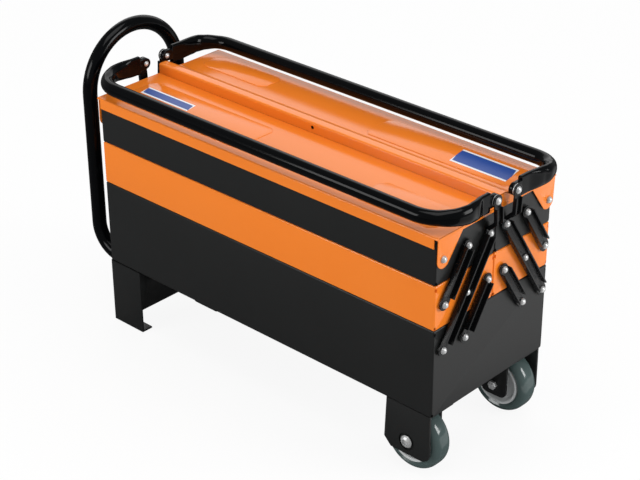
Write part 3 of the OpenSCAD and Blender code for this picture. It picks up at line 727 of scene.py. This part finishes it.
@dataclass
class Tray:
    """An open sheet box with a hem along its rim and folded corners."""

    name: str
    body: str
    node: str
    low: Point
    high: Point
    finish: Paint
    sheet: float = 1.0
    hem: float = 2.0
    hem_height: float = 8.0
    fold: float = 1.6

    def build(self, shop: Shop) -> Object:
        """Models the tray and dresses it."""
        obj = Bench.block(self.name, self.low, self.high)
        size = [b - a for a, b in zip(self.low, self.high)]
        rim = placed(*self.high).z
        centre = (placed(*self.low) + placed(*self.high)) / 2
        with Bench.edit(obj):
            Bench.pick_faces(obj, lambda f: f.normal.z > 0.9)
            bpy.ops.mesh.inset(thickness=self.hem * MM)
            self._sink(self.hem_height)
            bpy.ops.mesh.extrude_region_move(TRANSFORM_OT_translate={"value": (0, 0, 0)})
            wide = [(s - 2 * self.sheet) / (s - 2 * self.hem) for s in size[:2]]
            bpy.ops.transform.resize(value=(wide[0], wide[1], 1.0), center_override=centre)
            self._sink(size[2] - self.hem_height - self.sheet)
            Bench.pick_edges(obj, lambda a, b: self._outer_corner(a, b))
            bpy.ops.mesh.bevel(offset=self.fold * MM, segments=4, affect="EDGES")
            Bench.pick_edges(obj, lambda a, b: abs(a.z - rim) < 1e-6 and abs(b.z - rim) < 1e-6)
            bpy.ops.mesh.bevel(offset=0.5 * MM, segments=2, affect="EDGES")
        self._relieve(obj)
        Bench.shade(obj)
        return shop.dress(obj, self.finish, self.body, self.node)

    @staticmethod
    def _sink(depth: float) -> None:
        """Extrudes the selected faces down."""
        bpy.ops.mesh.extrude_region_move(TRANSFORM_OT_translate={"value": (0, 0, -depth * MM)})

    def _outer_corner(self, a: Vector, b: Vector) -> bool:
        """Whether an edge is one of the outer upright or bottom ones."""
        low, high = placed(*self.low), placed(*self.high)

        def outer(p: Vector, axis: int) -> bool:
            return min(abs(p[axis] - low[axis]), abs(p[axis] - high[axis])) < 1e-6

        upright = all(outer(p, 0) and outer(p, 1) for p in (a, b))
        bottom = all(abs(p.z - low.z) < 1e-6 for p in (a, b))
        return upright or bottom

    def _relieve(self, obj: Object) -> None:
        """Cuts the small relief holes at the ends of the folds."""
        tools = []
        for x in (self.low[0], self.high[0]):
            for y, inward in ((self.low[1], 1), (self.high[1], -1)):
                for z in (self.low[2] + 2.2, self.high[2] - 4.6):
                    Bench.clear()
                    bpy.ops.mesh.primitive_uv_sphere_add(
                        segments=16, ring_count=8, radius=1.0 * MM,
                        location=placed(x, y + 1.5 * inward, z), scale=(2.6, 1.4, 2.4),
                    )
                    bpy.ops.object.transform_apply(location=True, rotation=True, scale=True)
                    tools.append(bpy.context.active_object)
        Bench.cut(obj, Bench.join("relief_tool", tools))


@dataclass
class Lid:
    """A folded lid with a long skirt, two pivot ears and raised panels."""

    side: Side
    bead: bool
    over_long: float
    sheet: float = 1.0
    under: float = 211.5
    over_end: float = 2.5
    skirt: float = 12.8
    end_skirt: float = 4.5
    inner: float = 0.1
    bead_width: float = 34.0
    bead_height: float = 12.0
    bead_round: float = 2.4
    bead_hole: tuple[float, float, float] = (-5.0, 7.2, 2.2)
    pivot: tuple[float, float] = LID_PIVOT
    pivot_hole: float = 2.55
    ear_radius: float = 9.6
    ear_width: float = 40.0
    slit: float = 1.6
    crease: float = 0.55
    panels: list[tuple[float, float, float, float]] = field(default_factory=list)

    def build(self, shop: Shop) -> Object:
        """Models the lid and dresses it."""
        parts = [self._top(), *self._ends(), *self._panels()]
        obj = Bench.join(f"{self.side.prefix}_lid_sheet", parts)
        if self.side is Side.FRONT:
            Bench.mirror(obj)
        Bench.shade(obj, 32.0)
        return shop.dress(
            obj, ORANGE, f"{self.side.prefix}_lid_body", f"{self.side.prefix}_lid"
        )

    def _section(self) -> list[tuple[float, float]]:
        """Outer line of the lid from the skirt's edge to the centre, as Y and Z."""
        top = self.under + self.sheet
        outer = HALF_D + self.over_long
        line = [(outer, top - self.skirt)]
        line += arc((outer - 1.6, top - 1.6), 1.6, 0, 90, 5)
        if not self.bead:
            return line + [(self.inner, top)]
        start = self.inner + self.bead_width
        rise = self.bead_height
        steps = 14
        crest = 9.0
        for i in range(steps + 1):
            share = i / steps
            ease = share * share * (3 - 2 * share)
            line.append((start + (crest - start) * share, top + rise * ease))
        bend = self.bead_round
        line += arc((self.inner + bend, top + rise - bend), bend, 80, 180, 7)
        return line + [(self.inner, top)]

    def _strip(self, line: list[tuple[float, float]]) -> list[tuple[float, float]]:
        """Closes a line into a strip of the sheet's thickness on its inner side."""
        inner = []
        for i, point in enumerate(line):
            before = Vector(line[max(i - 1, 0)])
            after = Vector(line[min(i + 1, len(line) - 1)])
            along = (after - before).normalized()
            normal = Vector((-along.y, along.x))
            inner.append(tuple(Vector(point) + normal * self.sheet))
        return line + inner[::-1]

    def _top(self) -> Object:
        """The folded sheet between the two ends."""
        end = HALF_L + self.over_end
        points = [(-end, y, z) for y, z in self._strip(self._section())]
        obj = Bench.plate("lid_top", points, (2 * end, 0, 0))
        gap = self.sheet + 2.5
        top = self.under
        for x in (-end, end - gap):
            tool = Bench.block(
                "corner_tool", (x - 1, HALF_D - 8, top - 40), (x + gap + 1, HALF_D + 9, top - 0.9)
            )
            Bench.cut(obj, tool)
        if self.bead:
            self._drill(obj)
        return obj

    def _drill(self, obj: Object) -> None:
        """Cuts the round hole in the upright face of the bead."""
        x, up, radius = self.bead_hole
        Bench.drill(obj, (x, self.inner, self.under + up), radius, 6.0, "Y")

    def _ends(self) -> list[Object]:
        """The skirts and ears that fold down at the two ends."""
        top = self.under + self.sheet
        low = top - self.end_skirt
        outer = HALF_D + self.over_long - self.slit
        ear_in = HALF_D + self.over_long - self.ear_width
        y, z = self.pivot[0] - 1, self.pivot[1] - 1
        shape = [(outer, low)]
        shape += arc((y, z), self.ear_radius, 4, -146, 18)
        shape += [(ear_in, low), (self.inner, low)]
        if self.bead:
            shape += [p for p in reversed(self._section()) if p[0] < self.inner + self.bead_width]
        else:
            shape += [(self.inner, top - 0.02)]
        shape += [(outer, top - 0.02)]
        plates = []
        for end in End:
            x = end.value * (HALF_L + self.over_end) - (self.sheet if end is End.RIGHT else 0)
            plate = Bench.plate(
                "lid_end", [(x, y, z) for y, z in shape], (self.sheet, 0, 0)
            )
            Bench.drill(plate, (x, *self.pivot), self.pivot_hole, 8.0)
            Bench.soften(plate, 0.35)
            plates.append(plate)
        return plates

    def _panels(self) -> list[Object]:
        """The shallow raised panels, with chamfered corners and a soft crease."""
        made = []
        top = self.under + self.sheet
        cut = 7.0
        for x0, x1, y0, y1 in self.panels:
            corners = [
                (x0 + cut, y0), (x1 - cut, y0), (x1, y0 + cut), (x1, y1 - cut),
                (x1 - cut, y1), (x0 + cut, y1), (x0, y1 - cut), (x0, y0 + cut),
            ]
            panel = Bench.plate(
                "panel", [(x, y, top - 0.2) for x, y in corners], (0, 0, 0.2 + self.crease)
            )
            with Bench.edit(panel):
                rim = placed(0, 0, top + self.crease).z
                Bench.pick_edges(
                    panel, lambda a, b: abs(a.z - rim) < 1e-6 and abs(b.z - rim) < 1e-6
                )
                bpy.ops.mesh.bevel(
                    offset=self.crease * 0.95 * MM, segments=3, affect="EDGES"
                )
            made.append(panel)
        return made


# ---- handles ------------------------------------------------------------------------------


@dataclass
class Bail:
    """A bail bent from round tube, pressed flat near both ends, with a tongue at each rivet."""

    side: Side
    bend: float
    rest: float
    pivot: tuple[float, float] = BAIL_PIVOT
    length: float = 78.0
    radius: float = 8.0
    leg_x: float = 11.5
    flat_x: float = 8.7
    flat_thick: float = 5.4
    tongue_half: float = 6.7
    tongue_length: float = 9.0
    press_half: float = 11.0
    press_length: float = 20.0
    hole: float = 3.05

    @property
    def straight(self) -> float:
        """Distance from the pivot to where the bend begins."""
        return self.length - self.bend

    def build(self, shop: Shop) -> Object:
        """Models the bail and dresses it."""
        name = f"{self.side.prefix}_bail_tube"
        bar = Bench.tube(name, self._path(), self.radius, 12)
        self._press(bar)
        Bench.soften(bar, 0.7, 2, 65.0)
        obj = Bench.join(name, [bar, self._tongue(End.LEFT), self._tongue(End.RIGHT)])
        pivot = placed(0, *self.pivot)
        tilt = Matrix.Rotation(math.radians(self.rest), 4, "X")
        obj.data.transform(Matrix.Translation(pivot) @ tilt @ Matrix.Translation(-pivot))
        if self.side is Side.FRONT:
            Bench.mirror(obj)
        Bench.shade(obj, 40.0)
        return shop.dress(obj, TUBE_BLACK, f"{self.side.prefix}_bail", f"{self.side.prefix}_handle")

    def _path(self) -> list[Point]:
        """Middle line of the bar behind its tongues, as it lies level, in box millimetres."""
        x = HALF_L + self.leg_x
        pivot_y, pivot_z = self.pivot
        steps = round((self.straight - self.tongue_length) / 1.2)
        half = [
            (x, pivot_y + self.tongue_length + (self.straight - self.tongue_length) * i / steps,
             pivot_z)
            for i in range(steps)
        ]
        corner = (x - self.bend, pivot_y + self.straight)
        half += [(px, py, pivot_z) for px, py in arc(corner, self.bend, 0, 90, 32)]
        return half + [(-px, py, pz) for px, py, pz in reversed(half)]

    def _press(self, bar: Object) -> None:
        """Moves the points of the round bar to its pressed section."""
        pivot_y, pivot_z = self.pivot
        corner_x = HALF_L + self.leg_x - self.bend
        for vertex in bar.data.vertices:
            x = vertex.co.x / MM - BODY_X
            y = vertex.co.y / MM - pivot_y
            z = vertex.co.z / MM - FLOOR_GAP - pivot_z
            end = 1 if x > 0 else -1
            if abs(x) < corner_x:
                continue
            turn = 0.0
            across = abs(x) - HALF_L - self.leg_x
            along = y
            if y > self.straight:
                turn = math.atan2(y - self.straight, abs(x) - corner_x)
                across = math.hypot(y - self.straight, abs(x) - corner_x) - self.bend
                along = self.straight + self.bend * turn
            out, up = self._section(along, across, z)
            if turn == 0.0:
                new_x, new_y = HALF_L + self.leg_x + out, along
            else:
                new_x = corner_x + (self.bend + out) * math.cos(turn)
                new_y = self.straight + (self.bend + out) * math.sin(turn)
            vertex.co = placed(end * new_x, pivot_y + new_y, pivot_z + up)

    def _section(self, along: float, across: float, up: float) -> tuple[float, float]:
        """Where a point of the round section goes, at a distance along the middle line."""
        b = self.straight
        places = (self.press_length, b - 3, b + 0.22 * self.bend, b + 0.6 * self.bend,
                  b + self.bend)
        thick = (self.flat_thick / 2, 5.1, 6.5, 7.4, self.radius)
        high = (self.press_half, 11.0, 10.5, 9.2, self.radius)
        shift = (self.flat_x - self.leg_x, -1.0, 0.0, 0.0, 0.0)
        square = (0.3, 0.8, 1.0, 1.0, 1.0)
        angle = math.atan2(up, across)
        share = math.hypot(up, across) / self.radius
        power = smooth(along, places, square)
        flat = math.copysign(abs(math.cos(angle)) ** power, math.cos(angle))
        tall = math.copysign(abs(math.sin(angle)) ** power, math.sin(angle))
        return (
            smooth(along, places, shift) + smooth(along, places, thick) * flat * share,
            smooth(along, places, high) * tall * share,
        )

    def _tongue(self, end: End) -> Object:
        """The flat tongue at one end, with its rivet hole."""
        y, z = self.pivot
        half = self.tongue_half
        shape = [(y + self.tongue_length + 1, z + half)]
        shape += arc((y, z), half, 90, 270, 20)
        shape += [(y + self.tongue_length + 1, z - half)]
        x = end.value * (HALF_L + self.flat_x) - self.flat_thick / 2
        plate = Bench.plate("tongue", [(x, py, pz) for py, pz in shape], (self.flat_thick, 0, 0))
        Bench.drill(plate, (end.value * (HALF_L + self.flat_x), y, z), self.hole, 12.0)
        Bench.soften(plate, 0.6)
        return plate


@dataclass
class PushHandle:
    """The upright loop at the left end, which runs on under the box."""

    radius: float = 8.7
    out: float = 48.4
    half: float = 69.5
    arch_z: float = 192.0
    bend: float = 34.0
    run: float = 168.0

    def build(self, shop: Shop) -> Object:
        """Models the loop and dresses it."""
        x = -HALF_L - self.out
        low = -self.radius
        leg = [(-HALF_L + self.run, self.half, low)]
        corner = arc((x + self.bend, low + self.bend), self.bend, 270, 180, 16)
        leg += [(px, self.half, pz) for px, pz in corner]
        arch = [(x, py, pz) for py, pz in arc((0, self.arch_z), self.half, 0, 180, 48)]
        back = [(px, -py, pz) for px, py, pz in reversed(leg)]
        obj = Bench.tube("push_handle_tube", leg + arch + back, self.radius, 10)
        Bench.shade(obj, 40.0)
        return shop.dress(obj, TUBE_BLACK, "base", "push_handle")


# ---- arms, bracket, forks and small parts -------------------------------------------------


@dataclass
class Softened:
    """Pieces that keep their solid's shape and get rounded edges and a finish."""

    finish: object
    width: float
    nodes: dict[str, str]
    angle: float = 32.0
    carve: Optional[Callable[[Object, Side], None]] = None

    def build(self, shop: Shop) -> list[Object]:
        """Models and dresses every piece, by node and body."""
        made = []
        for node, body in self.nodes.items():
            obj = Bench.from_node(node, f"{node}_piece", self.width)
            if self.carve is not None:
                self.carve(obj, Side.FRONT if node.startswith(Side.FRONT.prefix) else Side.REAR)
            Bench.shade(obj, self.angle)
            made.append(shop.dress(obj, self.finish, body, node))
        return made


def sink_socket(obj: Object, side: Side) -> None:
    """Cuts the hexagon socket in an axle bolt's head."""
    centre = (AXLE_X, side.value * (HALF_D + 3.1), AXLE_Z)
    Bench.drill(obj, centre, radius=3.9, depth=6.0, along="Y", sides=6)


def ring_recess(obj: Object, side: Side) -> None:
    """Cuts a shallow round recess in a fork's outer plate, round the bolt head."""
    centre = (AXLE_X, side.value * (HALF_D - 0.7), AXLE_Z)
    Bench.drill(obj, centre, radius=10.4, depth=4.0, along="Y", sides=48)


def slim_set_heads(obj: Object, side: Side) -> None:
    """Draws in the flat set heads on the inner side of the bail rivets."""
    slimmer = 0.79
    inner_reach = (HALF_L + 6.0) * MM
    axis = placed(0, side.value * BAIL_PIVOT[0], BAIL_PIVOT[1])
    for vertex in obj.data.vertices:
        if abs(vertex.co.x - BODY_X * MM) < inner_reach:
            for i in (1, 2):
                vertex.co[i] = axis[i] + (vertex.co[i] - axis[i]) * slimmer


@dataclass
class Wheel:
    """A grey wheel with a crowned tyre, a pale rim ring and a dished hub."""

    side: Side
    centre_y: float = 74.6
    radius: float = 37.5
    width: float = 27.0
    hub: float = 27.0
    bore: float = 4.6
    boss: float = 9.0
    boss_width: float = 30.0

    def build(self, shop: Shop) -> list[Object]:
        """Models the tyre and the hub and dresses them."""
        prefix = self.side.prefix
        centre = (AXLE_X, self.side.value * self.centre_y, AXLE_Z)
        tyre = Bench.lathe(f"{prefix}_tyre_ring", self._tyre(), centre)
        Bench.shade(tyre, 40.0)
        hub = Bench.lathe(f"{prefix}_hub_disc", self._hub(), centre)
        Bench.shade(hub, 40.0)
        return [
            shop.dress(tyre, TYRE_GREY, f"{prefix}_wheel", f"{prefix}_wheel_tyre"),
            shop.dress(hub, HUB_GREY, f"{prefix}_wheel", f"{prefix}_wheel_hub"),
        ]

    def _tyre(self) -> list[tuple[float, float]]:
        """Half section of the tyre: a crown, round shoulders and a bead at the rim."""
        half = self.width / 2
        shoulder = 9.8
        right = arc((self.radius - shoulder, half - shoulder), shoulder, 0, 78, 9)
        side = [(self.hub + 0.2, half - 1.6), (self.hub, half - 3)]
        line = right + side
        return line + [(r, -y) for r, y in reversed(line)]

    def _hub(self) -> list[tuple[float, float]]:
        """Half section of the hub: rim ring, dish and boss."""
        half = self.width / 2
        line = [
            (self.hub, half - 3), (self.hub - 0.1, half - 0.9), (self.hub - 0.8, half - 0.4),
            (self.hub - 2.6, half - 0.4), (self.hub - 3.3, half - 0.9), (self.hub - 3.6, half - 2),
            (self.hub - 5.6, half - 6.5), (self.boss + 6, half - 9.6), (self.boss + 1.2, half - 10),
            (self.boss + 0.2, half - 9), (self.boss, self.boss_width / 2 - 0.6),
            (self.boss - 0.6, self.boss_width / 2), (self.bore, self.boss_width / 2),
        ]
        return line + [(r, -y) for r, y in reversed(line)]


# ---- studio -------------------------------------------------------------------------------


@dataclass
class Studio:
    """Camera, floor, backdrop light and lamps."""

    azimuth: float = 0.7522
    elevation: float = 0.4994
    roll: float = -0.0057
    distance: float = 1.97409
    target: Point = (0.01932, 0.0055, 0.16079)
    lens_px: float = 1741.72
    frame_px: int = 640
    sensor: float = 36.0
    floor_half: float = 6.0
    floor_gloss: float = 0.12
    card_from: tuple[float, float] = (0.32, -0.05)
    card_gloss: float = 0.7
    floor_glow: float = 0.9
    sky_fill: float = 0.6
    sky_gloss: float = 0.2

    def camera(self) -> None:
        """Adds the camera at the view's own angle."""
        data = bpy.data.cameras.new("camera")
        data.sensor_width = self.sensor
        data.lens = self.lens_px * self.sensor / self.frame_px
        data.clip_end = 50.0
        obj = bpy.data.objects.new("camera", data)
        bpy.context.scene.collection.objects.link(obj)
        flat = math.cos(self.elevation)
        back = Vector(
            (math.sin(self.azimuth) * flat, -math.cos(self.azimuth) * flat,
             math.sin(self.elevation))
        )
        turn = Matrix.Rotation(self.azimuth, 4, "Z")
        tip = Matrix.Rotation(math.pi / 2 - self.elevation, 4, "X")
        spin = Matrix.Rotation(self.roll, 4, "Z")
        place = Matrix.Translation(Vector(self.target) + back * self.distance)
        obj.matrix_world = place @ turn @ tip @ spin
        bpy.context.scene.camera = obj
        bpy.context.scene.view_settings.view_transform = "Standard"

    def floor(self) -> None:
        """Adds the pale floor, which shows white, keeps the shadow and is dark in gloss."""
        Bench.clear()
        bpy.ops.mesh.primitive_plane_add(size=2 * self.floor_half, location=(0, 0, -0.0002))
        obj = bpy.context.active_object
        obj.name = "studio_floor"
        bpy.ops.object.transform_apply(location=True, rotation=True, scale=True)
        graph = Graph("floor")
        rays = graph.node("ShaderNodeLightPath")
        x, y, _ = graph.axes()
        card = (x - self.card_from[0]).over(0.0) * (y - self.card_from[1]).over(0.0)
        gloss = graph.blend(card, self.grey(self.floor_gloss), self.grey(self.card_gloss))
        tone = graph.blend(rays.outputs["Is Glossy Ray"], self.grey(0.86), gloss)
        matt = graph.node("ShaderNodeBsdfDiffuse", None, {"Color": tone})
        glow = graph.node("ShaderNodeEmission", None, {"Color": self.grey(1.0), "Strength": 1.0})
        share = Value(graph, rays.outputs["Is Camera Ray"]) * self.floor_glow
        mix = graph.node(
            "ShaderNodeMixShader", None, {0: share, 1: matt.outputs[0], 2: glow.outputs[0]}
        )
        graph.node("ShaderNodeOutputMaterial", None, {0: mix.outputs[0]})
        obj.data.materials.append(graph.material)

    @staticmethod
    def grey(level: float) -> tuple[float, float, float, float]:
        """A neutral colour."""
        return level, level, level, 1.0

    def sky(self) -> None:
        """Lights the room evenly, shows white to the camera and stays dim in gloss."""
        world = bpy.data.worlds.new("studio")
        bpy.context.scene.world = world
        world.use_nodes = True
        tree = world.node_tree
        tree.nodes.clear()
        rays = tree.nodes.new("ShaderNodeLightPath")
        out = tree.nodes.new("ShaderNodeOutputWorld")
        shader = tree.nodes.new("ShaderNodeBackground")
        shader.inputs["Strength"].default_value = self.sky_fill
        for ray, strength in (("Is Glossy Ray", self.sky_gloss), ("Is Camera Ray", 1.0)):
            light = tree.nodes.new("ShaderNodeBackground")
            light.inputs["Color"].default_value = self.grey(1.0)
            light.inputs["Strength"].default_value = strength
            mix = tree.nodes.new("ShaderNodeMixShader")
            tree.links.new(rays.outputs[ray], mix.inputs[0])
            tree.links.new(shader.outputs[0], mix.inputs[1])
            tree.links.new(light.outputs[0], mix.inputs[2])
            shader = mix
        tree.links.new(shader.outputs[0], out.inputs[0])

    @staticmethod
    def lamp(name: str, place: Point, aim: Point, size: tuple[float, float], watts: float) -> None:
        """Adds a soft rectangular lamp.

        Args:
            name: The lamp's name.
            place: Where it hangs, in metres.
            aim: The point it faces.
            size: Its two sides in metres.
            watts: Its power.
        """
        data = bpy.data.lights.new(name, "AREA")
        data.shape = "RECTANGLE"
        data.size, data.size_y = size
        data.energy = watts
        obj = bpy.data.objects.new(name, data)
        bpy.context.scene.collection.objects.link(obj)
        obj.location = place
        aim_dir = Vector(aim) - Vector(place)
        obj.rotation_euler = aim_dir.to_track_quat("-Z", "Y").to_euler()

    def build(self) -> None:
        """Sets up the whole studio."""
        self.camera()
        self.floor()
        self.sky()
        self.lamp("sheen", (-1.5, 1.6, 1.25), (0, 0, 0.29), (2.6, 1.5), 13)
        self.lamp("top", (0.3, -0.1, 2.2), (0, 0, 0.3), (1.4, 1.4), 17)
        self.lamp("key", (1.9, 0.7, 0.9), (0.1, 0, 0.15), (0.9, 0.9), 22)
        self.lamp("front", (-0.8, -2.0, 1.0), (0, 0, 0.15), (1.2, 0.9), 20)


# ---- whole object -------------------------------------------------------------------------


def trays() -> list[Tray]:
    """The bottom box and the four trays."""
    made = [
        Tray("bottom_box_shell", "base", "bottom_box", (-HALF_L, -HALF_D, 0),
             (HALF_L, HALF_D, 104.7), BOX_BLACK)
    ]
    for side in Side:
        low_y, high_y = sorted((side.value * 0.3, side.value * HALF_D))
        for level, finish, z0, z1 in (
            ("middle", ORANGE, 105.0, 156.7), ("top", BOX_BLACK, 157.0, 211.2)
        ):
            stem = f"{side.prefix}_{level}"
            made.append(
                Tray(f"{stem}_tray_shell", f"{stem}_stage", f"{stem}_tray",
                     (-HALF_L, low_y, z0), (HALF_L, high_y, z1), finish)
            )
    return made


def lids() -> list[Lid]:
    """The front lid and the rear lid with its bead."""
    return [
        Lid(Side.FRONT, False, 2.0, panels=[(-236, -38, 22, 85), (131, 236, 36, 85)]),
        Lid(Side.REAR, True, 3.5, panels=[(-236, -131, 50, 86), (36, 236, 38, 86)]),
    ]


def small_parts() -> list[Softened]:
    """Arms, bracket, forks, clamps, bolts and rivets."""
    arms: dict[str, str] = {}
    handle: dict[str, str] = {}
    bolts: dict[str, str] = {}
    plated: dict[str, str] = {
        "box_rivets": "base", "foot_bolts": "base", "foot_nuts": "base",
        "clamp_rivets": "base", "fork_bolts": "base", "fork_nuts": "base",
    }
    for side in Side:
        prefix = side.prefix
        for end in End:
            tail = end.name.lower()
            arms[f"{prefix}_long_arm_{tail}"] = f"{prefix}_long_arms"
            arms[f"{prefix}_lower_link_{tail}"] = f"{prefix}_lower_links"
            arms[f"{prefix}_upper_link_{tail}"] = f"{prefix}_upper_links"
        plated[f"{prefix}_middle_rivets"] = f"{prefix}_middle_stage"
        plated[f"{prefix}_top_rivets"] = f"{prefix}_top_stage"
        handle[f"{prefix}_handle_rivets"] = f"{prefix}_handle_pivots"
        plated[f"{prefix}_handle_washers"] = f"{prefix}_handle_spacers"
        bolts[f"{prefix}_axle_bolt"] = "base"
        plated[f"{prefix}_axle_nut"] = "base"
        plated[f"{prefix}_wheel_bush"] = f"{prefix}_wheel"
    return [
        Softened(ARM_BLACK, 0.55, arms),
        Softened(BOX_BLACK, 0.5, {"foot_bracket": "base", "tube_clamps": "base"}),
        Softened(BOX_BLACK, 0.5, {"front_fork": "base", "rear_fork": "base"}, carve=ring_recess),
        Softened(ZINC, 0.25, plated),
        Softened(ZINC, 0.25, bolts, carve=sink_socket),
        Softened(ZINC, 0.25, handle, carve=slim_set_heads),
    ]


@dataclass
class Label:
    """A printed film with slanted ends on a lid's raised panel."""

    side: Side
    finish: Print
    z: float = 212.5
    thick: float = 0.3
    lift: float = 0.5

    def build(self, shop: Shop) -> Object:
        """Models the film and dresses it."""
        node = f"{self.side.prefix}_label"
        (x, y), (long, wide) = self.finish.centre, self.finish.half_size
        lean = wide * self.finish.slant
        corners = [
            (x - long + lean, y - wide), (x + long, y - wide),
            (x + long - lean, y + wide), (x - long, y + wide),
        ]
        obj = Bench.plate(
            f"{node}_film", [(px, py, self.z) for px, py in corners],
            (0, 0, self.lift + self.thick),
        )
        Bench.soften(obj, 0.1, 1)
        return shop.dress(obj, self.finish, f"{self.side.prefix}_lid_body", node)


def labels() -> list[Label]:
    """The two films."""
    return [
        Label(Side.REAR, Print("rear_print", "label_print", (185, 62), (40, 15.5), 2.6,
                               (-12.7, 12.7))),
        Label(Side.FRONT, Print("front_print", "label_print", (-188, -46), (40, 8.5), 2.4,
                                (-6.0, 6.0))),
    ]


def main() -> None:
    """Builds the studio and then every piece in order."""
    logging.basicConfig(level=logging.INFO, format="%(message)s")
    Bench.clear()
    Studio().build()
    shop = Shop()
    for maker in (
        *trays(), *lids(), Bail(Side.FRONT, 42.0, 1.0), Bail(Side.REAR, 32.0, -1.5), PushHandle(),
        *small_parts(), Wheel(Side.FRONT), Wheel(Side.REAR), *labels(),
    ):
        maker.build(shop)


if __name__ == "__main__":
    main()
